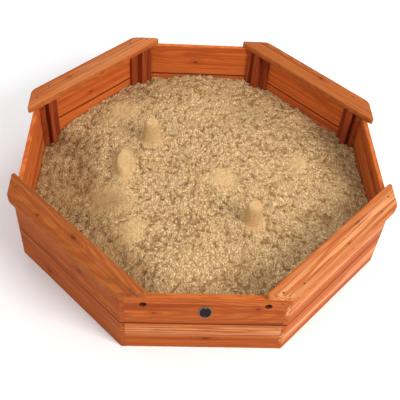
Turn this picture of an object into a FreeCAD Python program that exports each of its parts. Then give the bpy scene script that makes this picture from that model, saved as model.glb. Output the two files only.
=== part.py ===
"""Octagonal wooden sandpit with four corner seats, filled with sand.

Millimetres, +Z up, origin on the ground under the middle of the pit.  The front
wall faces -Y and carries the badge and the two rope holes.  Eight straight walls
stand in a regular octagon, each of two boards, one above the other.  The walls
that lie across the corners carry a seat board each.
"""
import FreeCAD
import Part
import math
import os
import Sketcher

# alias: (value, what it is)
DIMENSIONS = {
    "across_flats": (1400, "outside width of the octagon, wall to wall"),
    "board_thickness": (18, "wall board, outside face to inside face"),
    "board_width": (160, "height of one wall board"),
    "edge_round": (2, "rounding of the long edges of boards and battens"),
    "corner_strip": (15, "corner wall's bevelled end, seen in the straight wall's face"),
    "joint_gap": (0.6, "air between a straight wall's end and its neighbour"),
    "batten_width": (35, "batten along the wall"),
    "batten_thickness": (18, "batten, from the wall inwards"),
    "batten_setback": (18, "straight wall's batten to the inside corner"),
    "support_width": (28, "seat support along the wall"),
    "support_depth": (50, "seat support, from the wall inwards"),
    "support_setback": (2, "seat support to the inside corner"),
    "piece_gap": (0.5, "air between a seat support and the batten beside it"),
    "seat_thickness": (28, "seat board"),
    "seat_width": (90, "seat board, outer edge to inner edge"),
    "seat_outer_overhang": (20, "seat beyond the wall that it lies on"),
    "seat_side_overhang": (20, "seat beyond the left and right walls"),
    "seat_front_overhang": (4, "seat beyond the front and back walls"),
    "seat_corner_radius": (50, "outer corners of the seat in plan"),
    "seat_tip_radius": (8, "pointed inner corners of the seat in plan"),
    "seat_top_round": (6, "upper edge of the seat"),
    "seat_bottom_round": (3, "lower edge of the seat"),
    "sheet_thickness": (1.5, "woven sheet under the sand"),
    "sand_level": (145, "top of the sand above the ground"),
    "sand_gap": (0.5, "sand and sheet to the walls"),
    "rope_hole_diameter": (24, "hole for a cover's rope"),
    "rope_hole_spacing": (422, "hole centre to hole centre"),
    "rope_hole_drop": (43, "hole centre below the wall's top"),
    "badge_width": (46, "oval badge, across"),
    "badge_height": (70, "oval badge, up and down"),
    "badge_thickness": (3, "badge plate"),
    "badge_drop": (84, "badge centre below the wall's top"),
    "badge_pin_spacing": (52, "upper pin to lower pin"),
    "screw_head_diameter": (9, "countersunk head"),
    "screw_head_depth": (3, "countersunk head"),
    "screw_shank_diameter": (4, "shank"),
    "pin_head_diameter": (4, "badge pin's head"),
    "pin_head_depth": (1.2, "badge pin's head"),
    "pin_shank_diameter": (1.6, "badge pin's shank"),
    "wall_screw_length": (32, "wall screw, whole length"),
    "seat_screw_length": (55, "seat screw, whole length"),
    "badge_pin_length": (14, "badge pin, whole length"),
    "screw_edge": (28, "wall screw to the board's lower and upper edge"),
    "screw_corner": (33, "straight wall's screws to the outside corner"),
    "seat_screw_place": (231, "seat screw to the seat's middle, along the seat"),
    "seat_tip_screw_place": (667, "tip screw to the pit's middle, across the seat"),
}

# Names round the octagon, from the front wall towards +X; odd ones carry a seat.
SIDES = ("front", "front_right", "right", "back_right", "back", "back_left", "left", "front_left")
SEAT_SIDES = SIDES[1::2]
ROWS = ("lower", "upper")
ENDS = {"near": -1, "far": 1}

APOTHEM = "Sizes.across_flats / 2"
INNER = "(Sizes.across_flats / 2 - Sizes.board_thickness)"
HALF_SIDE = "(Sizes.across_flats / 2 * tan(22.5 deg))"
INNER_HALF_SIDE = "((Sizes.across_flats / 2 - Sizes.board_thickness) * tan(22.5 deg))"
WALL_TOP = "(2 * Sizes.board_width)"

UP = FreeCAD.Vector(0, 0, 1)
ACROSS = FreeCAD.Vector(1, 0, 0)


def make_sheet(doc):
    """Puts the driving dimensions into a spreadsheet, one row each."""
    sheet = doc.addObject("Spreadsheet::Sheet", "Sizes")
    for row, (alias, (value, note)) in enumerate(DIMENSIONS.items(), start=1):
        sheet.set(f"A{row}", alias)
        sheet.set(f"B{row}", str(value))
        sheet.set(f"C{row}", note)
        sheet.setAlias(f"B{row}", alias)
    doc.recompute()
    return sheet


def side_turn(side):
    """Rotation that takes the front wall's place to another side's place."""
    return FreeCAD.Rotation(UP, 45 * SIDES.index(side))


def side_placement(side, height=0):
    """Placement of a piece drawn in the front wall's place, for any side."""
    return FreeCAD.Placement(FreeCAD.Vector(0, 0, height), side_turn(side))


def origin_plane(body, role):
    """One of the body's own origin planes."""
    return next(item for item in body.Origin.OriginFeatures if item.Role == role)


def pin_corner(sketch, index, kind, expression):
    """Ties one coordinate of a corner to the sheet, on the side its sign says."""
    size = expression.lstrip("-")
    value = float(sketch.evalExpression(size))
    ends = (index, 1, -1, 1) if expression.startswith("-") else (-1, 1, index, 1)
    number = sketch.addConstraint(Sketcher.Constraint(kind, *ends, value))
    sketch.setExpression(f"Constraints[{number}]", size)


def corner_value(sketch, expression):
    """Number that a signed corner expression stands for."""
    value = float(sketch.evalExpression(expression.lstrip("-")))
    return -value if expression.startswith("-") else value


def polygon_sketch(body, corners):
    """Closed outline on the body's XY plane, every corner tied to the sheet."""
    sketch = body.newObject("Sketcher::SketchObject", body.Name + "_outline")
    sketch.AttachmentSupport = [(origin_plane(body, "XY_Plane"), "")]
    sketch.MapMode = "FlatFace"
    points = [FreeCAD.Vector(corner_value(sketch, x), corner_value(sketch, y), 0) for x, y in corners]
    for index, point in enumerate(points):
        following = points[(index + 1) % len(points)]
        sketch.addGeometry(Part.LineSegment(point, following))
    for index in range(len(points)):
        joined = (index + 1) % len(points)
        sketch.addConstraint(Sketcher.Constraint("Coincident", index, 2, joined, 1))
    for index, (x, y) in enumerate(corners):
        pin_corner(sketch, index, "DistanceX", x)
        pin_corner(sketch, index, "DistanceY", y)
    return sketch


def padded_body(doc, name, corners, length):
    """Body with one outline padded upwards by a length from the sheet."""
    body = doc.addObject("PartDesign::Body", name)
    sketch = polygon_sketch(body, corners)
    pad = body.newObject("PartDesign::Pad", name + "_pad")
    pad.Profile = sketch
    pad.setExpression("Length", length)
    doc.recompute()
    return body


def edge_names(shape, wanted):
    """Names of the edges whose middle point and direction pass a test."""
    names = []
    for number, edge in enumerate(shape.Edges, start=1):
        middle = edge.valueAt((edge.FirstParameter + edge.LastParameter) / 2)
        direction = edge.tangentAt(edge.FirstParameter)
        if wanted(middle, direction):
            names.append(f"Edge{number}")
    return names


def round_edges(doc, body, label, wanted, radius):
    """Rounds the body's edges that pass a test by a radius from the sheet."""
    base = body.Tip
    fillet = body.newObject("PartDesign::Fillet", f"{body.Name}_{label}")
    fillet.Base = (base, edge_names(base.Shape, wanted))
    fillet.setExpression("Radius", radius)
    doc.recompute()


def along_x(middle, direction):
    """True for the edges that run along the wall."""
    return abs(direction.x) > 0.99


def upright(middle, direction):
    """True for the edges that run straight up."""
    return abs(direction.z) > 0.99


# ---------------------------------------------------------------- fasteners

def make_screw(doc, name, kind):
    """Fastener with a conical head, its face at the origin, shank along -Z."""
    length = f"Sizes.{name}_length"
    body = doc.addObject("PartDesign::Body", name)
    head = body.newObject("PartDesign::AdditiveCone", name + "_head")
    head.setExpression("Radius1", f"Sizes.{kind}_shank_diameter / 2")
    head.setExpression("Radius2", f"Sizes.{kind}_head_diameter / 2")
    head.setExpression("Height", f"Sizes.{kind}_head_depth")
    head.setExpression("AttachmentOffset.Base.z", f"-Sizes.{kind}_head_depth")
    head.AttachmentSupport = [(origin_plane(body, "XY_Plane"), "")]
    head.MapMode = "FlatFace"
    shank = body.newObject("PartDesign::AdditiveCylinder", name + "_shank")
    shank.setExpression("Radius", f"Sizes.{kind}_shank_diameter / 2")
    shank.setExpression("Height", f"{length} - Sizes.{kind}_head_depth")
    shank.setExpression("AttachmentOffset.Base.z", f"-{length}")
    shank.AttachmentSupport = [(origin_plane(body, "XY_Plane"), "")]
    shank.MapMode = "FlatFace"
    doc.recompute()
    return body


def place_screw(doc, screw, name, place, turn):
    """One more of a screw, its head's face at a place, turned as said."""
    link = doc.addObject("App::Link", name)
    link.LinkedObject = screw
    link.Placement = FreeCAD.Placement(place, turn)
    return link


def compound(doc, name, pieces):
    """Several pieces held together as one object."""
    group = doc.addObject("Part::Compound", name)
    group.Links = pieces
    return group


def wall_screw_spots(sheet, side):
    """Where a wall's screws enter: along the wall and above the ground."""
    inner_half = (sheet.across_flats / 2 - sheet.board_thickness) * math.tan(math.radians(22.5))
    if side in SEAT_SIDES:
        support = inner_half - sheet.support_setback - sheet.support_width / 2
        batten = support - (sheet.support_width + sheet.batten_width) / 2 - sheet.piece_gap
        columns = {batten: sheet.screw_edge, support: sheet.board_width - sheet.screw_edge}
        heights = {place: (rise, sheet.board_width + rise) for place, rise in columns.items()}
    else:
        column = sheet.across_flats / 2 * math.tan(math.radians(22.5)) - sheet.screw_corner
        top = 2 * sheet.board_width
        low, high = sheet.screw_edge, sheet.board_width - sheet.screw_edge
        heights = {column: (low, high, top - high, top - low)}
    return [(sign * place, rise) for sign in (-1, 1) for place, rises in heights.items() for rise in rises]


def make_wall_screws(doc, sheet, screw, side):
    """Screws that hold one wall's boards to its battens and supports."""
    turn = side_turn(side)
    towards_wall = turn.multiply(FreeCAD.Rotation(ACROSS, 90))
    face = sheet.across_flats / 2
    links = []
    for number, (along, rise) in enumerate(wall_screw_spots(sheet, side)):
        place = turn.multVec(FreeCAD.Vector(along, -face, rise))
        links.append(place_screw(doc, screw, f"screw_{side}_{number}", place, towards_wall))
    return compound(doc, f"screws_{side}", links)


def make_seat_screws(doc, sheet, screw, side):
    """Screws down through one seat: two into its wall, one into each neighbour."""
    turn = side_turn(side)
    top = 2 * sheet.board_width + sheet.seat_thickness
    middle_of_board = (sheet.across_flats - sheet.board_thickness) / 2
    tip_across = sheet.seat_tip_screw_place
    tip_along = math.sqrt(2) * middle_of_board - tip_across
    links = []
    for sign in (-1, 1):
        spots = ((sheet.seat_screw_place, middle_of_board), (tip_along, tip_across))
        for number, (along, across) in enumerate(spots):
            place = turn.multVec(FreeCAD.Vector(sign * along, -across, top))
            name = f"seat_screw_{side}_{number}_{'right' if sign > 0 else 'left'}"
            links.append(place_screw(doc, screw, name, place, FreeCAD.Rotation()))
    return compound(doc, f"seat_screws_{side}", links)


def drilled(doc, label, blank, tools):
    """The blank with the tools' space taken out of it."""
    cut = doc.addObject("Part::Cut", label)
    cut.Label = label
    cut.Base = blank
    cut.Tool = tools[0] if len(tools) == 1 else compound(doc, label + "_cutters", tools)
    return cut


# ------------------------------------------------------------------- timber

def corner_board_outline():
    """Board across a corner: bevelled ends lie in the straight walls' faces.

    Each bevel is the corner strip wide, and from there the end is cut square to
    the straight wall, whose own end meets it.
    """
    strip = "Sizes.corner_strip"
    back = f"sqrt(2) * ({INNER_HALF_SIDE} - {HALF_SIDE} + {strip})"
    outer = HALF_SIDE
    middle = f"({HALF_SIDE} + {strip} / sqrt(2))"
    inner = f"({INNER_HALF_SIDE} + {back})"
    bevel_end = f"-({APOTHEM} - {strip} / sqrt(2))"
    return [
        ("-" + outer, f"-({APOTHEM})"),
        (outer, f"-({APOTHEM})"),
        (middle, bevel_end),
        (inner, "-" + INNER),
        ("-" + inner, "-" + INNER),
        ("-" + middle, bevel_end),
    ]


def straight_board_outline():
    """Plain board between two corner boards, with square ends."""
    end = f"({HALF_SIDE} - Sizes.corner_strip - Sizes.joint_gap)"
    return [
        ("-" + end, f"-({APOTHEM})"),
        (end, f"-({APOTHEM})"),
        (end, "-" + INNER),
        ("-" + end, "-" + INNER),
    ]


def make_board(doc, side, row):
    """Wall board with eased long edges, in the lower or the upper row."""
    corners = corner_board_outline() if side in SEAT_SIDES else straight_board_outline()
    name = f"wall_{side}_{row}"
    body = padded_body(doc, name + "_blank", corners, "Sizes.board_width")
    round_edges(doc, body, "eased", along_x, "Sizes.edge_round")
    height = doc.Sizes.board_width * ROWS.index(row)
    body.Placement = side_placement(side, height)
    return body


def make_rope_holes(doc, sheet):
    """Two bores through the front wall, for the rope of a cover."""
    holes = []
    height = 2 * sheet.board_width - sheet.rope_hole_drop
    for sign in (-1, 1):
        hole = doc.addObject("Part::Cylinder", f"rope_hole_{'right' if sign > 0 else 'left'}")
        hole.setExpression("Radius", "Sizes.rope_hole_diameter / 2")
        hole.setExpression("Height", "3 * Sizes.board_thickness")
        start = FreeCAD.Vector(sign * sheet.rope_hole_spacing / 2,
                               sheet.board_thickness - sheet.across_flats / 2 + sheet.board_thickness,
                               height)
        hole.Placement = FreeCAD.Placement(start, FreeCAD.Rotation(ACROSS, 90))
        holes.append(hole)
    return holes


def upright_block(doc, name, side, first, last, depth):
    """Upright timber on a wall's inside face, between two places along it."""
    corners = [
        (first, "-" + INNER),
        (last, "-" + INNER),
        (last, f"-({INNER} - {depth})"),
        (first, f"-({INNER} - {depth})"),
    ]
    body = padded_body(doc, name + "_blank", corners, f"{WALL_TOP} - Sizes.sheet_thickness")
    round_edges(doc, body, "eased", upright, "Sizes.edge_round")
    body.Placement = side_placement(side, doc.Sizes.sheet_thickness)
    return body


def make_batten(doc, side, end):
    """Batten that ties the two boards of a wall together, near one end."""
    if side in SEAT_SIDES:
        taken = "Sizes.support_setback - Sizes.support_width - Sizes.piece_gap"
        outer = f"({INNER_HALF_SIDE} - {taken})"
    else:
        outer = f"({INNER_HALF_SIDE} - Sizes.batten_setback)"
    inner = f"({outer} - Sizes.batten_width)"
    places = (inner, outer) if ENDS[end] > 0 else ("-" + outer, "-" + inner)
    return upright_block(doc, f"batten_{side}_{end}", side, *places, "Sizes.batten_thickness")


def make_support(doc, side, end):
    """Deep upright that carries the seat's inner part, close to the corner."""
    outer = f"({INNER_HALF_SIDE} - Sizes.support_setback)"
    inner = f"({outer} - Sizes.support_width)"
    places = (inner, outer) if ENDS[end] > 0 else ("-" + outer, "-" + inner)
    return upright_block(doc, f"seat_support_{side}_{end}", side, *places, "Sizes.support_depth")


def make_seat(doc, side):
    """Seat board: ends parallel to the two straight walls, outer corners round."""
    outer = f"({APOTHEM} + Sizes.seat_outer_overhang)"
    inner = f"({outer} - Sizes.seat_width)"
    side_end = f"(sqrt(2) * ({APOTHEM} + Sizes.seat_side_overhang))"
    front_end = f"(sqrt(2) * ({APOTHEM} + Sizes.seat_front_overhang))"
    # The end lines are at 45 degrees: along = sqrt(2) * overhung apothem - across.
    ends = {-1: front_end, 1: side_end}
    if side in ("front_left", "back_right"):
        ends = {-1: side_end, 1: front_end}
    corners = [
        (f"-({ends[-1]} - {outer})", "-" + outer),
        (f"({ends[1]} - {outer})", "-" + outer),
        (f"({ends[1]} - {inner})", "-" + inner),
        (f"-({ends[-1]} - {inner})", "-" + inner),
    ]
    body = padded_body(doc, f"seat_{side}_blank", corners, "Sizes.seat_thickness")
    sizes = doc.Sizes
    centre_line = sizes.seat_width / 2 - sizes.across_flats / 2 - sizes.seat_outer_overhang

    def outer_corner(middle, direction):
        return upright(middle, direction) and middle.y < centre_line

    def tip(middle, direction):
        return upright(middle, direction) and middle.y > centre_line

    def top_edge(middle, direction):
        return middle.z > 0.99 * sizes.seat_thickness

    def bottom_edge(middle, direction):
        return middle.z < 0.01 * sizes.seat_thickness

    round_edges(doc, body, "corners", outer_corner, "Sizes.seat_corner_radius")
    round_edges(doc, body, "tips", tip, "Sizes.seat_tip_radius")
    round_edges(doc, body, "top", top_edge, "Sizes.seat_top_round")
    round_edges(doc, body, "bottom", bottom_edge, "Sizes.seat_bottom_round")
    body.Placement = side_placement(side, 2 * sizes.board_width)
    return body


# ------------------------------------------------------- sand, sheet, badge

def octagon_corners(apothem):
    """Corners of a regular octagon with a flat side at the front."""
    half = f"({apothem} * tan(22.5 deg))"
    right = [(half, "-" + apothem), (apothem, "-" + half), (apothem, half), (half, apothem)]
    left = [("-" + x, y) for x, y in reversed(right)]
    return right + left


def make_ground_sheet(doc):
    """Woven sheet that keeps the sand off the ground."""
    apothem = f"({INNER} - Sizes.sand_gap)"
    body = padded_body(doc, "ground_sheet", octagon_corners(apothem), "Sizes.sheet_thickness")
    body.Label = "ground_sheet"
    return body


def make_sand(doc, uprights):
    """Sand up to its level, with the battens and supports standing in it."""
    apothem = f"({INNER} - Sizes.sand_gap)"
    depth = "Sizes.sand_level - Sizes.sheet_thickness"
    body = padded_body(doc, "sand_blank", octagon_corners(apothem), depth)
    above_sheet = FreeCAD.Vector(0, 0, doc.Sizes.sheet_thickness)
    body.Placement = FreeCAD.Placement(above_sheet, FreeCAD.Rotation())
    return drilled(doc, "sand_fill", body, [compound(doc, "uprights_in_sand", uprights)])


def make_badge_pins(doc, sheet, pin):
    """Two pins, one above the other, that hold the badge to the board."""
    height = 2 * sheet.board_width - sheet.badge_drop
    face = sheet.across_flats / 2 + sheet.badge_thickness
    links = []
    for sign in (-1, 1):
        place = FreeCAD.Vector(0, -face, height + sign * sheet.badge_pin_spacing / 2)
        name = f"badge_pin_{'upper' if sign > 0 else 'lower'}"
        links.append(place_screw(doc, pin, name, place, FreeCAD.Rotation(ACROSS, 90)))
    return compound(doc, "badge_pins", links)


def make_badge(doc, sheet, pins):
    """Plain upright oval plate in the middle of the front wall's upper board."""
    outline = doc.addObject("Part::Ellipse", "badge_outline")
    outline.setExpression("MajorRadius", "Sizes.badge_height / 2")
    outline.setExpression("MinorRadius", "Sizes.badge_width / 2")
    plate = doc.addObject("Part::Extrusion", "badge_blank")
    plate.Base = outline
    plate.Solid = True
    plate.DirMode = "Custom"
    plate.Dir = UP
    plate.setExpression("LengthFwd", "Sizes.badge_thickness")
    height = 2 * sheet.board_width - sheet.badge_drop
    stand_up = FreeCAD.Rotation(ACROSS, 90).multiply(FreeCAD.Rotation(UP, 90))
    plate.Placement = FreeCAD.Placement(FreeCAD.Vector(0, -sheet.across_flats / 2, height), stand_up)
    return drilled(doc, "badge", plate, [pins])


# ----------------------------------------------------------------- assembly

def neighbours(side):
    """The two sides next to a side."""
    place = SIDES.index(side)
    return SIDES[place - 1], SIDES[(place + 1) % len(SIDES)]


def build(doc):
    """Makes every sub-part and returns them in the order they are put together."""
    sheet = make_sheet(doc)
    wall_screw = make_screw(doc, "wall_screw", "screw")
    seat_screw = make_screw(doc, "seat_screw", "screw")
    badge_pins = make_badge_pins(doc, sheet, make_screw(doc, "badge_pin", "pin"))
    wall_screws = {side: make_wall_screws(doc, sheet, wall_screw, side) for side in SIDES}
    seat_screws = {side: make_seat_screws(doc, sheet, seat_screw, side) for side in SEAT_SIDES}
    rope_holes = make_rope_holes(doc, sheet)
    doc.recompute()

    parts = []
    for side in SIDES:
        for row in ROWS:
            tools = [wall_screws[side]]
            if row == "upper":
                tools += [seat_screws[near] for near in (side, *neighbours(side)) if near in SEAT_SIDES]
            if (side, row) == ("front", "upper"):
                tools += [*rope_holes, badge_pins]
            parts.append(drilled(doc, f"wall_{side}_{row}", make_board(doc, side, row), tools))

    uprights = []
    for side in SIDES:
        for end in ENDS:
            blank = make_batten(doc, side, end)
            uprights.append(blank)
            parts.append(drilled(doc, f"batten_{side}_{end}", blank, [wall_screws[side]]))
    for side in SEAT_SIDES:
        for end in ENDS:
            blank = make_support(doc, side, end)
            uprights.append(blank)
            parts.append(drilled(doc, f"seat_support_{side}_{end}", blank, [wall_screws[side]]))
        parts.append(drilled(doc, f"seat_{side}", make_seat(doc, side), [seat_screws[side]]))

    parts.append(make_ground_sheet(doc))
    parts.append(make_sand(doc, uprights))
    parts.append(make_badge(doc, sheet, badge_pins))
    parts.append(badge_pins)
    parts.append(compound(doc, "wall_screws", list(wall_screws.values())))
    parts.append(compound(doc, "seat_screws", list(seat_screws.values())))
    doc.recompute()
    return parts


def check(doc, parts):
    """Stops on any failed object or bad shape, before anything is written."""
    for item in doc.Objects:
        bad = [state for state in item.State if state in ("Invalid", "Error")]
        if bad:
            raise RuntimeError(f"{item.Label}: {bad}")
    for part in parts:
        if part.Shape.isNull() or not part.Shape.isValid():
            raise RuntimeError(f"{part.Label}: bad shape")


def export(parts):
    """Writes each sub-part to its own file, named by its label."""
    os.makedirs("parts", exist_ok=True)
    for part in parts:
        part.Shape.exportStep(f"parts/{part.Label}.step")
        box = part.Shape.BoundBox
        size = f"{box.XLength:.1f} x {box.YLength:.1f} x {box.ZLength:.1f}"
        print(f"{part.Label}: {len(part.Shape.Solids)} solids, {size} mm")


document = FreeCAD.newDocument("sandpit")
sub_parts = build(document)
check(document, sub_parts)
export(sub_parts)
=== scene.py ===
"""Octagonal garden sandpit: stained softwood boards, four corner seats, damp play sand.

The file follows the pit as it is put together: wall boards, battens and seat
supports, seats, screws, badge, ground sheet, sand.  Metres, +Z up, front towards -Y.
"""
import math

import bpy
import numpy as np
from mathutils import Matrix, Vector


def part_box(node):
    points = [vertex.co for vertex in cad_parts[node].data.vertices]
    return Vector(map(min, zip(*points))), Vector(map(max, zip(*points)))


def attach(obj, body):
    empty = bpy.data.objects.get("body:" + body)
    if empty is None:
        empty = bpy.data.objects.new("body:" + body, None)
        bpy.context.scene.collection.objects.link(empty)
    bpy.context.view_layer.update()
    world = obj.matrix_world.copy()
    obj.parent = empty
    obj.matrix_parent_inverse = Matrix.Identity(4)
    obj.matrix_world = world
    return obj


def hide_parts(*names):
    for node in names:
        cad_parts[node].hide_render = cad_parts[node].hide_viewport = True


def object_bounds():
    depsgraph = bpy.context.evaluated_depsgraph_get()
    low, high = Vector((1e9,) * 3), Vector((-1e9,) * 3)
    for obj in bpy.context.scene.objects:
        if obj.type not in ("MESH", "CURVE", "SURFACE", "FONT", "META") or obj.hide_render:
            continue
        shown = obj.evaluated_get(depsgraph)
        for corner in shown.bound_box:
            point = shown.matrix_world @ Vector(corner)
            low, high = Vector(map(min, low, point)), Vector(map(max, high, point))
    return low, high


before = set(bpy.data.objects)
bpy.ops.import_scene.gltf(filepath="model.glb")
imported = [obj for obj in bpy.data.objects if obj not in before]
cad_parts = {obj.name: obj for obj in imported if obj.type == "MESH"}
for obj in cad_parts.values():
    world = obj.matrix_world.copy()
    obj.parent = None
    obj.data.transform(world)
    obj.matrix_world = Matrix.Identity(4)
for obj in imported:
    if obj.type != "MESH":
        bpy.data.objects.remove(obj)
cad_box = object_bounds()
bpy.context.scene.view_settings.view_transform = "Standard"


# ------------------------------------------------------------------ camera
# The view of a grown-up who stands in front of the pit, a little to the left
# of its middle, and looks down over the front wall into the sand.

eye = (-0.148, -1.957, 2.235)
heading_right = math.radians(4.24)
look_down = math.radians(46.86)
lean = math.radians(4.70)

camera_data = bpy.data.cameras.new("camera")
camera_data.lens = 61.8
camera_data.shift_y = -0.05
camera = bpy.data.objects.new("camera", camera_data)
bpy.context.scene.collection.objects.link(camera)
turned = Matrix.Rotation(-heading_right, 4, "Z") @ Matrix.Rotation(math.pi / 2 - look_down, 4, "X")
camera.matrix_world = Matrix.Translation(eye) @ turned @ Matrix.Rotation(lean, 4, "Z")
bpy.context.scene.camera = camera


# ------------------------------------------------------------- wall boards
# Planed softwood boards, two to a wall, stained reddish brown with a thin
# satin stain that lets the grain and the knots show.  They are screwed from
# outside to the battens and the seat supports.

sides = ("front", "front_right", "right", "back_right", "back", "back_left", "left", "front_left")
seat_sides = sides[1::2]
wall_box = {row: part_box(f"wall_front_{row}") for row in ("lower", "upper")}
outer_face = -wall_box["lower"][0].y
inner_face = -wall_box["lower"][1].y
board_width = wall_box["lower"][1].z
wall_top = wall_box["upper"][1].z


def add(tree, kind, inputs=None, **settings):
    """One shader node; inputs are values, or outputs of other nodes to link."""
    node = tree.nodes.new(kind)
    for name, value in settings.items():
        setattr(node, name, value)
    for name, value in (inputs or {}).items():
        if isinstance(value, bpy.types.NodeSocket):
            tree.links.new(value, node.inputs[name])
        else:
            node.inputs[name].default_value = value
    return node


def math_node(tree, operation, first, second=0.0):
    """Output of a Math node."""
    return add(tree, "ShaderNodeMath", {0: first, 1: second}, operation=operation).outputs[0]


def noise(tree, vector, stretch, detail=2.0, roughness=0.5):
    """Noise whose cells are one over stretch long in each direction."""
    scaled = add(tree, "ShaderNodeVectorMath", {0: vector, 1: stretch}, operation="MULTIPLY").outputs[0]
    return add(tree, "ShaderNodeTexNoise",
               {"Vector": scaled, "Scale": 1.0, "Detail": detail, "Roughness": roughness})


def ramp(tree, value, low, high, to_low=0.0, to_high=1.0):
    """Value moved smoothly from low..high to to_low..to_high, held outside."""
    node = add(tree, "ShaderNodeMapRange",
               {"Value": value, "From Min": low, "From Max": high, "To Min": to_low, "To Max": to_high},
               interpolation_type="SMOOTHSTEP")
    return node.outputs["Result"]


def blend_colour(tree, factor, first, second, how="MIX"):
    """Colour output that goes from first to second as factor goes from 0 to 1."""
    node = tree.nodes.new("ShaderNodeMix")
    node.data_type = "RGBA"
    node.blend_type = how
    named = {socket.identifier: socket for socket in node.inputs}
    for key, value in (("Factor_Float", factor), ("A_Color", first), ("B_Color", second)):
        if isinstance(value, bpy.types.NodeSocket):
            tree.links.new(value, named[key])
        else:
            named[key].default_value = value
    return next(socket for socket in node.outputs if socket.identifier == "Result_Color")


def new_material(name):
    """Material, its node tree and its surface shader."""
    material = bpy.data.materials.new(name)
    material.use_nodes = True
    return material, material.node_tree, material.node_tree.nodes["Principled BSDF"]


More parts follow.
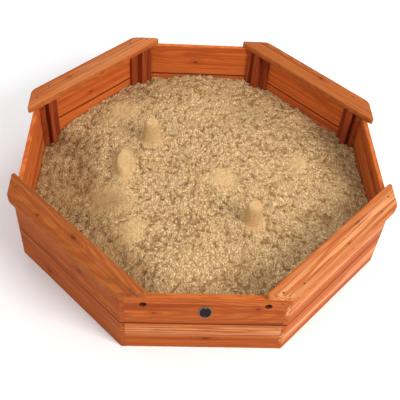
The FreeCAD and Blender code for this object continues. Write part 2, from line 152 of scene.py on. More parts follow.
def stained_wood(name, centre, rotation, half_width, stain, seed, knots=(), joint=0, tone_and_shading=1.0,
                 sapwood_and_light=None, holes=()):
    """Stained softwood: rings round a heart line, streaks, fibres, knots, worn edges.

    The board's own frame has x along the grain and z across its face.  The ring
    pattern is the distance from a heart line that lies behind the face and runs
    at a small angle to it, so the rings leave long arches on the face.  Near a
    knot that distance grows, so the rings flow round the knot.  joint is 1 or -1
    for a board whose upper or lower edge meets another board; shade is painted
    dark along that joint.  The tone factor makes the stain lighter or darker,
    partly for the wood's own tone and partly as painted light and shade on that
    side.  The pale band's height and strength come next; the band is sapwood, and
    on the brightly lit front-right boards partly painted light.  holes are the
    places and radii of holes, whose walls are painted dark, partly for the darker
    sawn grain and partly as painted shade inside the holes.
    """
    material, tree, shader = new_material(name)
    chance = np.random.default_rng(seed)
    place = add(tree, "ShaderNodeTexCoord").outputs["Object"]
    board = add(tree, "ShaderNodeMapping", {"Vector": place, "Location": centre, "Rotation": rotation},
                vector_type="TEXTURE").outputs[0]
    shifted = add(tree, "ShaderNodeVectorMath", {0: board, 1: tuple(chance.uniform(-9, 9, 3))},
                  operation="ADD").outputs[0]
    sway = noise(tree, shifted, (1.6, 7.0, 7.0), 3.0).outputs["Color"]
    sway = add(tree, "ShaderNodeVectorMath", {0: sway, 1: (0.5, 0.5, 0.5)}, operation="SUBTRACT").outputs[0]
    sway = add(tree, "ShaderNodeVectorMath", {0: sway, 1: (0.0, 0.045, 0.035)},
               operation="MULTIPLY").outputs[0]
    warped = add(tree, "ShaderNodeVectorMath", {0: board, 1: sway}, operation="ADD").outputs[0]

    flat = add(tree, "ShaderNodeVectorMath", {0: board, 1: (0.5, 0.0, 1.0)}, operation="MULTIPLY").outputs[0]
    core, halo = 0.0, 0.0
    for along, across, size in knots:
        gap = add(tree, "ShaderNodeVectorMath", {0: flat, 1: (0.5 * along, 0.0, across)},
                  operation="DISTANCE").outputs["Value"]
        halo = math_node(tree, "MAXIMUM", halo, ramp(tree, gap, 0.4 * size, 3.2 * size, 1.0, 0.0))
        core = math_node(tree, "MAXIMUM", core, ramp(tree, gap, 0.25 * size, 0.95 * size, 0.85, 0.0))
    lift = add(tree, "ShaderNodeCombineXYZ", {"Y": math_node(tree, "MULTIPLY", halo, 0.030)}).outputs[0]
    warped = add(tree, "ShaderNodeVectorMath", {0: warped, 1: lift}, operation="ADD").outputs[0]

    heart = (0.0, chance.uniform(0.03, 0.09), chance.uniform(-0.05, 0.05))
    slant = (0.0, chance.uniform(-0.05, 0.05), chance.uniform(0.03, 0.07))
    log = add(tree, "ShaderNodeMapping", {"Vector": warped, "Location": heart, "Rotation": slant},
              vector_type="TEXTURE").outputs[0]
    rings = add(tree, "ShaderNodeTexWave",
                {"Vector": log, "Scale": 38.0, "Distortion": 1.2, "Detail": 2.0, "Detail Scale": 0.4},
                wave_type="RINGS", rings_direction="X", wave_profile="SIN").outputs["Fac"]
    streaks = noise(tree, shifted, (0.9, 45.0, 45.0), 3.0, 0.6).outputs["Fac"]
    fine = noise(tree, shifted, (3.0, 160.0, 160.0), 2.0, 0.6).outputs["Fac"]
    fibres = noise(tree, shifted, (22.0, 700.0, 700.0), 2.0, 0.6).outputs["Fac"]
    patches = noise(tree, shifted, (2.5, 9.0, 9.0), 2.0).outputs["Fac"]

    # The tone factor scales the stain partly for the wood's own tone and partly as painted light and shade on
    # that side.
    light, middle, dark, knot = (tuple(tone_and_shading * part for part in colour[:3]) + (1,) for colour in stain)
    colour = blend_colour(tree, ramp(tree, rings, 0.20, 0.95), light, middle)
    colour = blend_colour(tree, ramp(tree, streaks, 0.42, 0.68), colour, dark)
    colour = blend_colour(tree, ramp(tree, fine, 0.52, 0.68, 0.0, 0.6), colour, dark)
    colour = blend_colour(tree, ramp(tree, fine, 0.30, 0.45, 0.5, 0.0), colour, light)
    colour = blend_colour(tree, ramp(tree, fibres, 0.40, 0.75, 0.0, 0.35), colour, dark)
    colour = blend_colour(tree, ramp(tree, patches, 0.35, 0.65, 0.0, 0.35), colour, middle)
    colour = blend_colour(tree, math_node(tree, "MULTIPLY", halo, 0.40), colour, dark)
    colour = blend_colour(tree, core, colour, knot)

    height = add(tree, "ShaderNodeSeparateXYZ", {0: board}).outputs["Z"]
    # The pale band: sapwood, and on the front-right boards partly painted light.
    if sapwood_and_light:
        away = math_node(tree, "ABSOLUTE", math_node(tree, "SUBTRACT", height, sapwood_and_light[0]))
        band = math_node(tree, "MULTIPLY", ramp(tree, away, 0.008, 0.050, sapwood_and_light[1], 0.0),
                         ramp(tree, fine, 0.42, 0.56))
        colour = blend_colour(tree, band, colour, (0.74, 0.36, 0.17, 1))
    edge = ramp(tree, math_node(tree, "ABSOLUTE", height), half_width - 0.006, half_width - 0.001)
    rubbed = ramp(tree, noise(tree, shifted, (30.0, 60.0, 60.0)).outputs["Fac"], 0.40, 0.62, 0.1, 0.75)
    colour = blend_colour(tree, math_node(tree, "MULTIPLY", edge, rubbed), colour, light)
    # Painted shade: the board is painted dark along the edge that meets the next board, where the groove
    # between them lies in shade.
    if joint:
        joint_shade = ramp(tree, math_node(tree, "MULTIPLY", height, float(joint)),
                      half_width - 0.0065, half_width - 0.0020, 0.0, 0.92)
        colour = blend_colour(tree, joint_shade, colour, (0.100, 0.022, 0.010, 1))
    # The walls of the rope holes are painted near black: partly the darker sawn grain, partly painted shade
    # inside the holes.
    for along, across, radius in holes:
        gap = add(tree, "ShaderNodeVectorMath", {0: board, 1: (along, 0.0, across)},
                  operation="SUBTRACT").outputs[0]
        gap = add(tree, "ShaderNodeVectorMath", {0: gap, 1: (1.0, 0.0, 1.0)}, operation="MULTIPLY").outputs[0]
        gap = add(tree, "ShaderNodeVectorMath", {0: gap}, operation="LENGTH").outputs["Value"]
        sawn_grain_and_shade = ramp(tree, gap, radius + 0.0002, radius + 0.0012, 0.9, 0.0)
        colour = blend_colour(tree, sawn_grain_and_shade, colour, (0.055, 0.016, 0.008, 1))
    tree.links.new(colour, shader.inputs["Base Color"])

    sheen = math_node(tree, "ADD", ramp(tree, rings, 0.0, 1.0, 0.50, 0.40),
                      ramp(tree, fibres, 0.3, 0.7, 0.0, 0.14))
    tree.links.new(sheen, shader.inputs["Roughness"])
    shader.inputs["Specular IOR Level"].default_value = 0.02
    relief = math_node(tree, "ADD", math_node(tree, "MULTIPLY", rings, 0.35), fibres)
    bump = add(tree, "ShaderNodeBump", {"Height": relief, "Strength": 0.55, "Distance": 0.0007})
    tree.links.new(bump.outputs["Normal"], shader.inputs["Normal"])
    return material


def dress(node, material):
    """Gives a CAD node one material."""
    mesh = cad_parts[node].data
    mesh.materials.clear()
    mesh.materials.append(material)


def spun(side, along, across, height):
    """Place given in the front wall's directions, turned to another side."""
    angle = math.radians(45 * sides.index(side))
    x = along * math.cos(angle) + across * math.sin(angle)
    y = along * math.sin(angle) - across * math.cos(angle)
    return (x, y, height)


# Light, middle and dark grain, and knots.
wall_stain = ((0.60, 0.158, 0.036, 1), (0.46, 0.104, 0.022, 1),
              (0.30, 0.053, 0.012, 1), (0.15, 0.029, 0.010, 1))

# Along the board from its middle, up from its middle, and radius, for each knot.
wall_knots = {
    "wall_front_lower": ((-0.165, 0.036, 0.011), (0.010, -0.016, 0.011)),
    "wall_front_upper": ((0.178, 0.020, 0.008), (-0.175, -0.014, 0.006)),
    "wall_back_upper": ((0.020, -0.010, 0.010),),
    "wall_front_left_upper": ((0.080, 0.010, 0.011),),
    "wall_front_left_lower": ((-0.120, -0.030, 0.010),),
    "wall_front_right_lower": ((0.050, 0.020, 0.009),),
    "wall_right_upper": ((-0.060, 0.030, 0.010),),
    "wall_left_lower": ((0.110, 0.010, 0.012),),
    "wall_back_right_lower": ((-0.040, 0.015, 0.011),),
    "wall_back_left_upper": ((0.020, -0.030, 0.009),),
}

# How much lighter or darker each wall is painted: partly how the stain came out on that wall, partly painted
# light and shade for how brightly that side is lit.
wall_tone_and_shading = {"front": 0.82, "front_right": 0.86, "right": 0.90, "back_right": 1.34,
             "back": 1.10, "back_left": 1.20, "left": 1.08, "front_left": 0.74}

# Height up from the board's middle, and strength, of its pale band.  On the front's lower board the band is
# sapwood; on the front-right boards it is partly sapwood and partly painted light for that brightly lit side.
wall_sapwood_and_light = {"wall_front_lower": (0.035, 0.60), "wall_front_right_upper": (0.010, 0.80),
                "wall_front_right_lower": (-0.005, 0.80)}

# Along the board and up from its middle, and radius.
rope_holes = {"wall_front_upper": ((-0.211, 0.037, 0.012), (0.211, 0.037, 0.012))}

for index, side in enumerate(sides):
    for row, low in (("lower", 0.0), ("upper", board_width)):
        node = f"wall_{side}_{row}"
        upper = row == "upper"
        centre = spun(side, 0.0, (outer_face + inner_face) / 2, low + board_width / 2)
        turn = math.radians(45 * index)
        wood = stained_wood(f"stained_{node}", centre, (0.0, 0.0, turn), board_width / 2, wall_stain,
                            10 * index + upper, wall_knots.get(node, ()), -1 if upper else 1,
                            wall_tone_and_shading[side], wall_sapwood_and_light.get(node), rope_holes.get(node, ()))
        dress(node, wood)


# ------------------------------------------- battens and seat supports
# Sawn softwood uprights on the inside of the walls.  The battens tie the two
# boards of a wall together, and the deeper supports carry the seats.  They got
# the same stain, which sits darker on sawn wood.

upright_stain = ((0.40, 0.082, 0.024, 1), (0.30, 0.055, 0.017, 1),
                 (0.19, 0.032, 0.011, 1), (0.09, 0.016, 0.007, 1))
batten_width = 0.035
support_width = 0.028


def upright_wood(node, side, seed):
    """Stained wood for an upright, grain up and down, centred on its node."""
    low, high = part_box(node)
    centre = tuple((low + high) / 2)
    turn = math.radians(45 * sides.index(side))
    return stained_wood(f"stained_{node}", centre, (0.0, -math.pi / 2, turn), batten_width / 2,
                        upright_stain, seed)


for index, side in enumerate(sides):
    for number, end in enumerate(("near", "far")):
        node = f"batten_{side}_{end}"
        dress(node, upright_wood(node, side, 200 + 10 * index + number))
        if side in seat_sides:
            node = f"seat_support_{side}_{end}"
            dress(node, upright_wood(node, side, 300 + 10 * index + number))


# ------------------------------------------------------------------ seats
# One planed board lies flat across each corner, its outer corners rounded and
# its edges eased for sitting.  It is screwed down through its face.

seat_stain = ((0.56, 0.168, 0.044, 1), (0.43, 0.113, 0.027, 1),
              (0.29, 0.063, 0.015, 1), (0.15, 0.033, 0.011, 1))
seat_knots = {
    "front_left": ((0.015, -0.010, 0.010), (-0.150, 0.018, 0.006)),
    "front_right": ((0.120, -0.012, 0.011), (0.020, 0.020, 0.005)),
    "back_right": ((-0.060, 0.012, 0.009),),
    "back_left": ((0.130, 0.006, 0.008),),
}
# How much lighter or darker each seat is painted: partly the stain's own tone, partly painted light and shade
# for how brightly each seat top is lit.
seat_tone_and_shading = {"front_left": 0.70, "front_right": 0.96, "back_right": 0.80, "back_left": 0.95}
# Height and strength of the seats' pale bands: sapwood, and on the front-right seat partly a painted sheen.
seat_sapwood_and_light = {"front_right": (0.006, 0.65), "back_left": (-0.012, 0.35)}
seat_top = cad_box[1].z
seat_width = 0.090
seat_overhang = 0.020
for index, side in enumerate(seat_sides):
    centre = spun(side, 0.0, outer_face + seat_overhang - seat_width / 2, (wall_top + seat_top) / 2)
    turn = math.radians(45 * sides.index(side))
    wood = stained_wood(f"stained_seat_{side}", centre, (math.pi / 2, 0.0, turn), seat_width / 2,
                        seat_stain, 400 + index, seat_knots[side], 0, seat_tone_and_shading[side], seat_sapwood_and_light.get(side))
    dress(f"seat_{side}", wood)


# ----------------------------------------------------------------- screws
# Zinc plated countersunk screws with a cross recess, driven flush with the
# wood.  Each wall has eight, each seat four, and their heads have dulled.

wall_screw_length = 0.032
seat_screw_length = 0.055
turned_points = 16
# How much darker each ring of a screw is painted, from the tip up; darkest down in the cross recess.
recess_darkening = (0, 0, 0, 0, 0.15, 0.1, 0.8, 1.0)


def closed_surface(name, rings):
    """Mesh from shapes made of rings of points, each ring closed, both ends fanned.

    rings has the axes shape, ring, point and coordinate; a ring's points and
    then the rings themselves follow each other as a right-handed screw goes.
    """
    shapes, rows, columns = rings.shape[:3]
    ends = np.stack([rings[:, 0].mean(1), rings[:, -1].mean(1)], 1)
    points = np.concatenate([rings.reshape(shapes, -1, 3), ends], 1)
    row, column = np.meshgrid(np.arange(rows - 1), np.arange(columns), indexing="ij")
    after = (column + 1) % columns
    quads = np.stack([row * columns + column, row * columns + after,
                      (row + 1) * columns + after, (row + 1) * columns + column], -1).reshape(-1, 4)
    edge = np.arange(columns)
    following = (edge + 1) % columns
    start, last = rows * columns, (rows - 1) * columns
    near_fan = np.stack([np.full(columns, start), following, edge], -1)
    far_fan = np.stack([np.full(columns, start + 1), last + edge, last + following], -1)
    fans = np.concatenate([near_fan, far_fan])
    offset = (np.arange(shapes) * points.shape[1])[:, None, None]
    quads = (quads[None] + offset).reshape(-1, 4)
    fans = (fans[None] + offset).reshape(-1, 3)
    mesh = bpy.data.meshes.new(name)
    mesh.from_pydata(points.reshape(-1, 3).tolist(), [], quads.tolist() + fans.tolist())
    mesh.polygons.foreach_set("use_smooth", np.ones(len(mesh.polygons), bool))
    piece = bpy.data.objects.new(name, mesh)
    bpy.context.scene.collection.objects.link(piece)
    return piece


def store(piece, name, values):
    """One number per vertex, for the material."""
    attribute = piece.data.attributes.new(name, "FLOAT", "POINT")
    attribute.data.foreach_set("value", np.asarray(values, np.float32))


def turned_shapes(places, out, profile, lobes):
    """Rings of a turned shape at each place, its axis along out.

    A ring is place + out*depth + radius*(cos(t)*a + sin(t)*b), where a and b
    are square to out; on a lobed ring the radius is also multiplied by
    0.30 + 0.70*|cos(2t)|^3, which gives a cross.
    """
    places, out = np.array(places, float), np.array(out, float)
    radius, depth = np.array(profile).T
    turn = np.linspace(0, 2 * math.pi, turned_points, endpoint=False)
    cross = 0.30 + 0.70 * np.abs(np.cos(2 * turn)) ** 3
    spread = radius[:, None] * np.where(np.array(lobes)[:, None], cross, 1.0)
    side_way = np.where(np.abs(out[:, 2:]) > 0.5, [[1.0, 0.0, 0.0]],
                        np.stack([-out[:, 1], out[:, 0], np.zeros(len(out))], -1))
    up_way = np.cross(out, side_way)
    return (places[:, None, None] + out[:, None, None] * depth[None, :, None, None]
            + side_way[:, None, None] * (spread * np.cos(turn))[None, ..., None]
            + up_way[:, None, None] * (spread * np.sin(turn))[None, ..., None])


def screw_profile(length):
    """Radius and depth of each ring, from the tip to the bottom of the recess."""
    rings = ((0.0006, -length), (0.0019, 0.005 - length), (0.0019, -0.0030), (0.0043, -0.0004),
             (0.0044, -0.0001), (0.0034, 0.0), (0.0030, -0.0001), (0.0020, -0.0020))
    return rings, (0, 0, 0, 0, 0, 0, 1, 1)


def screw_steel(name):
    """Dulled zinc: grey, mottled, darker in the recess, a little brown in broad patches."""
    material, tree, shader = new_material(name)
    place = add(tree, "ShaderNodeTexCoord").outputs["Object"]
    mottle = noise(tree, place, (900.0, 900.0, 900.0), 3.0, 0.6).outputs["Fac"]
    aged = noise(tree, place, (6.0, 6.0, 6.0), 1.0).outputs["Fac"]
    recess_dark = add(tree, "ShaderNodeAttribute", attribute_name="recess_dark").outputs["Fac"]
    colour = blend_colour(tree, ramp(tree, mottle, 0.35, 0.65), (0.24, 0.165, 0.12, 1), (0.40, 0.31, 0.25, 1))
    colour = blend_colour(tree, ramp(tree, aged, 0.42, 0.56, 0.0, 0.80), colour, (0.13, 0.048, 0.022, 1))
    # The head is painted darker down in the cross recess.
    colour = blend_colour(tree, recess_dark, colour, (0.035, 0.018, 0.012, 1))
    tree.links.new(colour, shader.inputs["Base Color"])
    tree.links.new(ramp(tree, mottle, 0.3, 0.7, 0.35, 0.6), shader.inputs["Roughness"])
    shader.inputs["Metallic"].default_value = 0.60
    bump = add(tree, "ShaderNodeBump", {"Height": mottle, "Strength": 0.3, "Distance": 0.0002})
    tree.links.new(bump.outputs["Normal"], shader.inputs["Normal"])
    return material


def screws(name, node, places, out, length, finish):
    """The screws of one kind, in place of their CAD node."""
    rings, lobes = screw_profile(length)
    piece = closed_surface(name, turned_shapes(places, out, rings, lobes))
    one_screw = np.append(np.repeat(recess_darkening, turned_points), (0, 1))
    store(piece, "recess_dark", np.tile(one_screw, len(places)))
    piece.data.materials.append(finish)
    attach(piece, "root")
    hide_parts(node)


# Half a wall's length is this share of its distance from the middle.  A support
# stands a corner gap short of the corner, and a batten an upright gap beside it.
half_side_share = math.tan(math.radians(22.5))
corner_gap, upright_gap = 0.002, 0.0005
support_column = inner_face * half_side_share - corner_gap - support_width / 2
batten_column = support_column - (support_width + batten_width) / 2 - upright_gap
straight_screw_inset = 0.033
straight_column = outer_face * half_side_share - straight_screw_inset
low_screw = 0.028
high_screw = board_width - low_screw
wall_places, wall_out = [], []
for side in sides:
    if side in seat_sides:
        columns = {batten_column: (low_screw, board_width + low_screw),
                   support_column: (high_screw, board_width + high_screw)}
    else:
        columns = {straight_column: (low_screw, high_screw, wall_top - high_screw, wall_top - low_screw)}
    for column, rises in columns.items():
        for along in (-column, column):
            for rise in rises:
                wall_places.append(spun(side, along, outer_face, rise))
                wall_out.append(spun(side, 0.0, 1.0, 0.0))
dull_steel = screw_steel("dull_screw_steel")
screws("wall_screw_set", "wall_screws", wall_places, wall_out, wall_screw_length, dull_steel)

# Two of a seat's screws go into its own wall, and one at each tip into the next.
board_middle = (outer_face + inner_face) / 2
seat_screw_along = 0.231
tip_across = 0.667
tip_along = math.sqrt(2) * board_middle - tip_across
seat_places = [spun(side, sign * along, across, seat_top)
               for side in seat_sides for sign in (-1, 1)
               for along, across in ((seat_screw_along, board_middle), (tip_along, tip_across))]
screws("seat_screw_set", "seat_screws", seat_places, [(0.0, 0.0, 1.0)] * len(seat_places),
       seat_screw_length, dull_steel)


# ------------------------------------------------------------------ badge
# Upright oval plate, pressed and lacquered brown-black with a bare rim.  Two
# small pins with domed heads hold it midway along the front wall's upper board.

badge_half_width, badge_half_height, badge_thickness = 0.023, 0.035, 0.003
badge_drop = 0.084
badge_height = wall_top - badge_drop
badge_points = 72

# Share of the outline and of the thickness, from the back's edge to the middle.
badge_profile = ((0.985, 0.01), (1.0, 0.12), (1.0, 0.72), (0.985, 0.94), (0.96, 1.0),
                 (0.915, 1.0), (0.885, 0.92), (0.865, 0.66), (0.84, 0.60), (0.70, 0.66),
                 (0.50, 0.73), (0.28, 0.78), (0.08, 0.80))
bare_metal = (0.6, 0.6, 0.6, 0.9, 1, 1, 0.7, 0, 0, 0, 0, 0, 0)


def oval_plate(profile):
    """Rings of an oval: x and z are share times the half axes.

    y is the wall's face less the second share times the thickness.
    """
    share, rise = np.array(profile).T
    turn = np.linspace(0, 2 * math.pi, badge_points, endpoint=False)
    x = badge_half_width * share[:, None] * np.cos(turn)
    z = badge_height + badge_half_height * share[:, None] * np.sin(turn)
    y = np.broadcast_to(-outer_face - badge_thickness * rise[:, None], x.shape)
    return np.stack([x, y, z], -1)[None]


badge = closed_surface("badge_plate", oval_plate(badge_profile))
store(badge, "rim", np.append(np.repeat(bare_metal, badge_points), (0, 0)))
lacquer, tree, shader = new_material("badge_lacquer")
place = add(tree, "ShaderNodeTexCoord").outputs["Object"]
orange_peel = noise(tree, place, (420.0, 420.0, 420.0), 2.0).outputs["Fac"]
scuffs = noise(tree, place, (900.0, 900.0, 150.0), 3.0, 0.65).outputs["Fac"]
rim = add(tree, "ShaderNodeAttribute", attribute_name="rim").outputs["Fac"]
field = blend_colour(tree, ramp(tree, scuffs, 0.50, 0.72, 0.0, 0.35),
                     (0.012, 0.006, 0.005, 1), (0.05, 0.035, 0.03, 1))
bare = blend_colour(tree, ramp(tree, scuffs, 0.35, 0.65), (0.13, 0.095, 0.08, 1), (0.27, 0.21, 0.185, 1))
shader.inputs["Specular IOR Level"].default_value = 0.05
tree.links.new(blend_colour(tree, rim, field, bare), shader.inputs["Base Color"])
tree.links.new(ramp(tree, scuffs, 0.35, 0.70, 0.30, 0.52), shader.inputs["Roughness"])
tree.links.new(math_node(tree, "MULTIPLY", rim, 0.45), shader.inputs["Metallic"])
bump = add(tree, "ShaderNodeBump", {"Height": orange_peel, "Strength": 0.25, "Distance": 0.0003})
tree.links.new(bump.outputs["Normal"], shader.inputs["Normal"])
badge.data.materials.append(lacquer)
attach(badge, "root")
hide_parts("badge")

pin_face = outer_face + badge_thickness
pin_rise = 0.026
pin_places = [(0.0, -pin_face, badge_height + rise) for rise in (-pin_rise, pin_rise)]
pin_profile = ((0.0003, -0.014), (0.0008, -0.012), (0.0008, -0.0012), (0.0019, -0.0012),
               (0.0020, -0.0008), (0.0017, -0.0003), (0.0011, -0.0001), (0.0004, 0.0))
pin_rings = turned_shapes(pin_places, [(0.0, -1.0, 0.0)] * 2, pin_profile, (0,) * len(pin_profile))
pins = closed_surface("badge_pin_pair", pin_rings)
store(pins, "recess_dark", np.zeros(len(pins.data.vertices)))
pins.data.materials.append(screw_steel("pin_steel"))
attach(pins, "root")
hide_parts("badge_pins")


# ----------------------------------------------------------- ground sheet
# Black woven sheet cut to the pit's inside, laid flat on the ground under the
# sand, where it puckers a little.  It lets water out and keeps weeds down.

sheet_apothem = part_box("ground_sheet")[1].x
sheet_rise, pucker, sheet_thickness = 0.0011, 0.0003, 0.0004


def lattice_noise(x, y, cell, seed):
    """Random heights on a square lattice, -1 to 1, blended by s*s*(3 - 2*s)."""
    size = 256
    heights = np.random.default_rng(seed).uniform(-1, 1, (size, size))
    column, row = np.floor(x / cell).astype(int), np.floor(y / cell).astype(int)
    right, up = x / cell - column, y / cell - row
    right, up = right * right * (3 - 2 * right), up * up * (3 - 2 * up)
    corner = [[heights[(row + j) % size, (column + i) % size] for i in (0, 1)] for j in (0, 1)]
    lower = corner[0][0] * (1 - right) + corner[0][1] * right
    upper = corner[1][0] * (1 - right) + corner[1][1] * right
    return lower * (1 - up) + upper * up


def laid_sheet():
    """Rings over the octagon, top from the middle out and underside back in.

    A point's distance from the middle is a share of apothem/cos(angle from the
    nearest wall's direction); its height is 1.1 mm plus noise of 0.3 mm.
    """
    turn = np.linspace(0, 2 * math.pi, 192, endpoint=False)
    reach = sheet_apothem / np.cos((turn + math.pi / 8) % (math.pi / 4) - math.pi / 8)
    share = np.linspace(0.02, 1.0, 40)[:, None]
    x, y = share * reach * np.cos(turn), share * reach * np.sin(turn)
    top = np.stack([x, y, sheet_rise + pucker * lattice_noise(x, y, 0.06, 21)], -1)
    under = top[::-1] - (0.0, 0.0, sheet_thickness)
    return np.concatenate([top, under])[::-1][None]


def woven_tape(name):
    """Black plastic tapes about 2.5 mm wide, woven over and under."""
    material, tree, shader = new_material(name)
    place = add(tree, "ShaderNodeTexCoord").outputs["Object"]
    one_way = add(tree, "ShaderNodeTexWave", {"Vector": place, "Scale": 63.0},
                  wave_type="BANDS", bands_direction="X").outputs["Fac"]
    other_way = add(tree, "ShaderNodeTexWave", {"Vector": place, "Scale": 63.0},
                    wave_type="BANDS", bands_direction="Y").outputs["Fac"]
    weave = math_node(tree, "MULTIPLY", one_way, other_way)
    dust = noise(tree, place, (30.0, 30.0, 30.0), 3.0).outputs["Fac"]
    colour = blend_colour(tree, weave, (0.006, 0.006, 0.006, 1), (0.045, 0.045, 0.042, 1))
    colour = blend_colour(tree, ramp(tree, dust, 0.45, 0.75, 0.0, 0.5), colour, (0.30, 0.20, 0.11, 1))
    tree.links.new(colour, shader.inputs["Base Color"])
    tree.links.new(ramp(tree, dust, 0.4, 0.7, 0.45, 0.8), shader.inputs["Roughness"])
    bump = add(tree, "ShaderNodeBump", {"Height": weave, "Strength": 0.6, "Distance": 0.0004})
    tree.links.new(bump.outputs["Normal"], shader.inputs["Normal"])
    return material


ground_sheet = closed_surface("woven_ground_sheet", laid_sheet())
ground_sheet.data.materials.append(woven_tape("woven_tape"))
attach(ground_sheet, "root")
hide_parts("ground_sheet")


# ------------------------------------------------------------------- sand
# Damp washed play sand, dug over so that it lies in clods and crumbs, with a
# few places patted smooth and three heaps turned out of beakers.  It lies low
# at the left and high at the right and the front.

sheet_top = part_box("sand_fill")[0].z
sand_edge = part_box("sand_fill")[1].x

# x, y and height of the sand there.
sand_places = (
    (-0.64, 0.28, 0.080), (-0.67, 0.12, 0.085), (-0.67, -0.05, 0.108), (-0.55, 0.42, 0.100),
    (-0.45, 0.52, 0.125), (0.00, 0.67, 0.152), (0.45, 0.50, 0.122), (0.55, 0.42, 0.112),
    (0.67, 0.10, 0.150), (0.67, -0.12, 0.172), (0.50, -0.45, 0.176), (0.00, -0.67, 0.170),
    (-0.50, -0.45, 0.152), (0.00, 0.00, 0.153), (-0.30, 0.10, 0.140), (0.30, 0.20, 0.150),
    (0.20, -0.30, 0.165), (-0.25, -0.30, 0.158),
)

# x, y and radius of the places patted smooth.
smooth_places = ((-0.375, -0.110, 0.085), (0.095, 0.000, 0.058), (-0.270, -0.285, 0.052),
                 (-0.350, 0.420, 0.062), (0.420, 0.120, 0.040))

# x, y, radius across and along, and height of the turned-out heaps.
sand_heaps = ((-0.215, 0.235, 0.038, 0.038, 0.120), (-0.325, 0.070, 0.036, 0.088, 0.044),
              (0.200, -0.235, 0.037, 0.037, 0.110))


def lie_of_sand(x, y):
    """Smooth height: the listed places' heights, weighted by one over distance^3."""
    total, weights = np.zeros_like(x), np.zeros_like(x)
    for place_x, place_y, height in sand_places:
        weight = ((x - place_x) ** 2 + (y - place_y) ** 2 + 0.05 ** 2) ** -1.5
        total += weight * height
        weights += weight
    return total / weights


def round_crumbs(x, y, cell, seed):
    """Rounded crumbs, one in each lattice cell, in metres.

    The height is the largest sqrt(radius^2 - distance^2) over the crumbs of the
    nine cells round a point.
    """
    size = 128
    shift_x, shift_y, girth = np.random.default_rng(seed).uniform(0, 1, (3, size, size))
    column, row = np.floor(x / cell).astype(int), np.floor(y / cell).astype(int)
    best = np.zeros_like(x)
    for i in (-1, 0, 1):
        for j in (-1, 0, 1):
            here = (row + j) % size, (column + i) % size
            gap_x = column + i + shift_x[here] - x / cell
            gap_y = row + j + shift_y[here] - y / cell
            radius = 0.30 + 0.50 * girth[here]
            best = np.maximum(best, radius ** 2 - gap_x ** 2 - gap_y ** 2)
    return cell * np.sqrt(best)


def smoothness(x, y):
    """0 on loose sand, up to 1 on the smooth places and the heaps' tops and sides."""
    calm = np.zeros_like(x)
    for place_x, place_y, radius in smooth_places:
        bend = 1 + 0.35 * lattice_noise(x, y, 0.06, 51)
        gap = np.hypot(x - place_x, y - place_y) / (radius * bend)
        calm = np.maximum(calm, 0.75 * np.clip(1.5 - 1.1 * gap, 0, 1))
    for place_x, place_y, across, along, _ in sand_heaps:
        gap = np.hypot((x - place_x) / across, (y - place_y) / along)
        calm = np.maximum(calm, 0.85 * np.clip(3.4 - 2.4 * gap, 0, 1))
    return calm


def heaps(x, y):
    """Turned-out heaps: height * (1 - gap^8) inside gap 1, and a skirt of fallen sand."""
    total = np.zeros_like(x)
    for place_x, place_y, across, along, height in sand_heaps:
        bend = 1 + 0.06 * lattice_noise(x, y, 0.03, 52)
        gap = np.hypot((x - place_x) / across, (y - place_y) / along) * bend
        body = height * (1 - np.clip(gap, 0, 1) ** 8)
        skirt = 0.018 * np.exp(-2.2 * np.clip(gap - 1, 0, None))
        total = np.maximum(total, np.maximum(body, skirt * (gap < 3)))
    return total


def damp_and_shade_share(x, y):
    """0 to 1: damper, clumpier sand near the left, right and front walls, painted darker there partly for the
    damp and partly as painted shade along the walls.
    """
    left = np.clip((-x - 0.55 * y - 0.38 + 0.14 * lattice_noise(x, y, 0.12, 61)) / 0.14, 0, 1)
    right = 0.5 * np.clip((x - 0.50 + 0.08 * lattice_noise(x, y, 0.1, 63)) / 0.12, 0, 1)
    front = 0.6 * np.clip((-0.50 - y + 0.10 * lattice_noise(x, y, 0.1, 62)) / 0.12, 0, 1)
    return np.maximum(left, np.maximum(right, front))


def waves(x, y):
    """Low swells and hollows of about 15 and 6 cm."""
    return 0.010 * lattice_noise(x, y, 0.15, 33) + 0.005 * lattice_noise(x, y, 0.065, 34)


def crumbs(x, y):
    """Height of clods and crumbs: rounded crumbs of three sizes, larger where damp."""
    bend_x = x + 0.012 * lattice_noise(x, y, 0.05, 31)
    bend_y = y + 0.012 * lattice_noise(x, y, 0.05, 32)
    patch = np.clip(0.55 + 0.9 * lattice_noise(x, y, 0.11, 38), 0, 1)
    clods = 0.55 * np.maximum(0.8 * patch, damp_and_shade_share(x, y)) * round_crumbs(bend_x, bend_y, 0.030, 35)
    lumps = 0.60 * round_crumbs(bend_x, bend_y, 0.0185, 36)
    grains = 0.60 * round_crumbs(x, y, 0.0110, 37)
    rough = 1 - smoothness(x, y)
    return 0.80 * rough * (clods + lumps + grains - 0.010)


def corners_of(node, side):
    """Along and across limits of an upright, in its wall's own directions."""
    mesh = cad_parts[node].data
    flat = np.empty(3 * len(mesh.vertices), np.float32)
    mesh.vertices.foreach_get("co", flat)
    points = flat.reshape(-1, 3)
    angle = math.radians(45 * sides.index(side))
    along = points[:, 0] * math.cos(angle) + points[:, 1] * math.sin(angle)
    across = points[:, 0] * math.sin(angle) - points[:, 1] * math.cos(angle)
    return along.min(), along.max(), across.min()


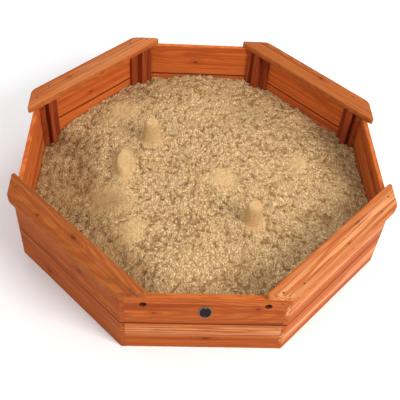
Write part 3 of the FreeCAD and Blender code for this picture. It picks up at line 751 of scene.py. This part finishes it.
def reach_of_sand(angles):
    """Distance from the middle to the wall or upright met at each angle.

    The walls are at the octagon's apothem over the cosine of the angle from the
    wall's own direction; an upright cuts that short where the ray meets it.
    """
    clearance = 0.0008
    reach = np.full_like(angles, np.inf)
    for index, side in enumerate(sides):
        facing = math.radians(45 * index - 90)
        off = np.angle(np.exp(1j * (angles - facing)))
        ahead = np.abs(off) < math.radians(60)
        reach = np.where(ahead, np.minimum(reach, sand_edge / np.maximum(np.cos(off), 0.1)), reach)
        names = [f"batten_{side}_{end}" for end in ("near", "far")]
        if side in seat_sides:
            names += [f"seat_support_{side}_{end}" for end in ("near", "far")]
        for node in names:
            first, last, face = corners_of(node, side)
            first, last, face = first - clearance, last + clearance, face - clearance
            slope = np.tan(np.clip(off, -1.2, 1.2))
            front = (face * slope > first) & (face * slope < last) & ahead
            reach = np.where(front, np.minimum(reach, face / np.cos(off)), reach)
            inner = first if first > 0 else last
            met = inner / np.where(np.abs(slope) < 1e-6, 1e-6, slope)
            flank = ahead & (met > face) & (met < sand_edge)
            reach = np.where(flank, np.minimum(reach, met / np.cos(off)), reach)
    return reach


def sand_surface():
    """Rings from the middle out to the walls, down to the sheet and back in.

    A point lies at a share of the reach at its angle.  Extra angles stand on both
    sides of each step in the reach, so the sand fits squarely round the uprights.
    The underside is level and repeats only every 24th ring.
    """
    spokes, trial_spokes = 680, 14400
    ring_count, wall_rings, under_skip = 122, 3, 24
    step = 0.003
    even = np.linspace(-math.pi, math.pi, spokes, endpoint=False)
    trial = np.linspace(-math.pi, math.pi, trial_spokes, endpoint=False)
    jumps = np.abs(np.diff(reach_of_sand(trial))) > step
    extra = np.concatenate([trial[:-1][jumps], trial[1:][jumps]])
    angles = np.unique(np.concatenate([even, extra]))
    reach = reach_of_sand(angles)
    share = np.linspace(0.004, 1.0, ring_count)[:, None]
    x, y = share * reach * np.cos(angles), share * reach * np.sin(angles)
    top = np.stack([x, y, lie_of_sand(x, y) + waves(x, y) + crumbs(x, y) + heaps(x, y)], -1)
    depth = np.linspace(1.0, 0.0, wall_rings + 1)[1:, None]
    edge = np.broadcast_to(top[-1], (wall_rings, len(angles), 3)).copy()
    edge[..., 2] = sheet_top + depth * (top[-1, :, 2] - sheet_top)
    under = top[::-under_skip][1:].copy()
    under[..., 2] = sheet_top
    return np.concatenate([top, edge, under])[::-1][None]


def sand_material(name):
    """Damp sand: warm crumbs of mixed colour, painted shade between them and in the hollows, darker near the
    walls partly for damp and partly as painted shade, no gloss.
    """
    material, tree, shader = new_material(name)
    place = add(tree, "ShaderNodeTexCoord").outputs["Object"]
    hollow_shade = add(tree, "ShaderNodeAttribute", attribute_name="hollow_shade").outputs["Fac"]
    damp_and_shade = add(tree, "ShaderNodeAttribute", attribute_name="damp_and_shade").outputs["Fac"]
    calm = add(tree, "ShaderNodeAttribute", attribute_name="calm").outputs["Fac"]
    rough = math_node(tree, "SUBTRACT", 1.0, calm)
    wander = noise(tree, place, (60.0, 60.0, 60.0), 2.0).outputs["Color"]
    wander = add(tree, "ShaderNodeVectorMath", {0: wander, 1: (0.010, 0.010, 0.010)},
                 operation="MULTIPLY").outputs[0]
    bent = add(tree, "ShaderNodeVectorMath", {0: place, 1: wander}, operation="ADD").outputs[0]
    scaled = add(tree, "ShaderNodeVectorMath", {0: bent, 1: (150.0, 105.0, 120.0)},
                 operation="MULTIPLY").outputs[0]
    cells = add(tree, "ShaderNodeTexVoronoi", {"Vector": scaled, "Scale": 1.0, "Randomness": 1.0})
    gaps = ramp(tree, cells.outputs["Distance"], 0.30, 0.72)
    pick = add(tree, "ShaderNodeSeparateColor", {0: cells.outputs["Color"]}).outputs[0]
    clots = noise(tree, place, (85.0, 55.0, 85.0), 3.0, 0.65).outputs["Fac"]
    grains = noise(tree, place, (520.0, 520.0, 520.0), 2.0, 0.7).outputs["Fac"]
    colour = blend_colour(tree, pick, (0.79, 0.512, 0.222, 1), (0.97, 0.735, 0.392, 1))
    colour = blend_colour(tree, ramp(tree, clots, 0.34, 0.54, 0.70, 0.0), colour, (0.45, 0.238, 0.094, 1))
    # Painted shade in the gaps between the crumbs.
    gap_shade = math_node(tree, "MULTIPLY", math_node(tree, "MULTIPLY", gaps, 0.60), rough)
    colour = blend_colour(tree, gap_shade, colour, (0.310, 0.138, 0.048, 1))
    colour = blend_colour(tree, ramp(tree, grains, 0.52, 0.70, 0.0, 0.55), colour, (0.82, 0.64, 0.42, 1))
    colour = blend_colour(tree, ramp(tree, grains, 0.30, 0.46, 0.55, 0.0), colour, (0.26, 0.118, 0.042, 1))
    colour = blend_colour(tree, math_node(tree, "MULTIPLY", calm, 0.80), colour, (0.50, 0.308, 0.136, 1))
    # Darker near the walls: partly damp sand, partly painted shade.
    colour = blend_colour(tree, math_node(tree, "MULTIPLY", damp_and_shade, 0.62), colour, (0.29, 0.140, 0.048, 1))
    # Painted shade in the hollows: the sand is painted darker where the crumb surface lies lowest.
    colour = blend_colour(tree, ramp(tree, hollow_shade, 0.0, 1.0, 0.0, 0.68), colour, (0.26, 0.102, 0.034, 1))
    tree.links.new(colour, shader.inputs["Base Color"])
    tree.links.new(ramp(tree, damp_and_shade, 0.0, 1.0, 0.95, 0.80), shader.inputs["Roughness"])
    shader.inputs["Specular IOR Level"].default_value = 0.08
    crumb = math_node(tree, "MULTIPLY", math_node(tree, "SUBTRACT", 1.0, gaps), rough)
    relief = math_node(tree, "ADD", crumb, math_node(tree, "MULTIPLY", grains, 0.35))
    bump = add(tree, "ShaderNodeBump", {"Height": relief, "Strength": 1.0, "Distance": 0.0045})
    tree.links.new(bump.outputs["Normal"], shader.inputs["Normal"])
    return material


sand = closed_surface("play_sand_fill", sand_surface())
spots = np.empty(3 * len(sand.data.vertices), np.float32)
sand.data.vertices.foreach_get("co", spots)
across_pit, along_pit = spots.reshape(-1, 3)[:, :2].T.astype(float)
loose = crumbs(across_pit, along_pit)
calm = smoothness(across_pit, along_pit)
# The hollow mask is painted shade: darkest where the crumbs lie lowest, none on the smooth places.
low_crumbs = np.quantile(loose, 0.30)
hollow_depth = 0.004
store(sand, "hollow_shade", (1 - calm) * np.clip((low_crumbs - loose) / hollow_depth, 0, 1))
store(sand, "calm", calm)
store(sand, "damp_and_shade", damp_and_shade_share(across_pit, along_pit))
sand.data.materials.append(sand_material("play_sand"))
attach(sand, "root")
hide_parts("sand_fill")


# --------------------------------------------------------- floor and light
# A pale studio floor and a bright white surround, with one large soft lamp high
# up at the front right and weaker ones at the back right and the front left.

floor_mesh = bpy.data.meshes.new("floor")
floor_half = 12.0
corners = [(-floor_half, -floor_half, 0), (floor_half, -floor_half, 0),
           (floor_half, floor_half, 0), (-floor_half, floor_half, 0)]
floor_mesh.from_pydata(corners, [], [(0, 1, 2, 3)])
floor = bpy.data.objects.new("floor", floor_mesh)
bpy.context.scene.collection.objects.link(floor)
pale, _, pale_shader = new_material("pale_floor")
pale_shader.inputs["Base Color"].default_value = (0.90, 0.90, 0.91, 1)
pale_shader.inputs["Roughness"].default_value = 0.9
floor_mesh.materials.append(pale)


def soft_lamp(name, place, size, power, colour=(1.0, 1.0, 1.0)):
    """Square soft lamp that points at the middle of the pit."""
    data = bpy.data.lights.new(name, "AREA")
    data.size = size
    data.energy = power
    data.color = colour
    lamp = bpy.data.objects.new(name, data)
    lamp.location = place
    lamp.rotation_euler = (-lamp.location).to_track_quat("-Z", "Y").to_euler()
    bpy.context.scene.collection.objects.link(lamp)


soft_lamp("key_lamp", (2.5, -2.4, 3.1), 1.6, 150.0, (1.0, 0.97, 0.93))
soft_lamp("back_lamp", (2.3, 2.9, 3.4), 1.8, 60.0)
soft_lamp("fill_lamp", (-3.5, -2.0, 3.0), 3.0, 25.0)
world = bpy.data.worlds.new("studio")
world.use_nodes = True
world.node_tree.nodes["Background"].inputs["Color"].default_value = (1.0, 1.0, 1.0, 1)
world.node_tree.nodes["Background"].inputs["Strength"].default_value = 0.8
bpy.context.scene.world = world
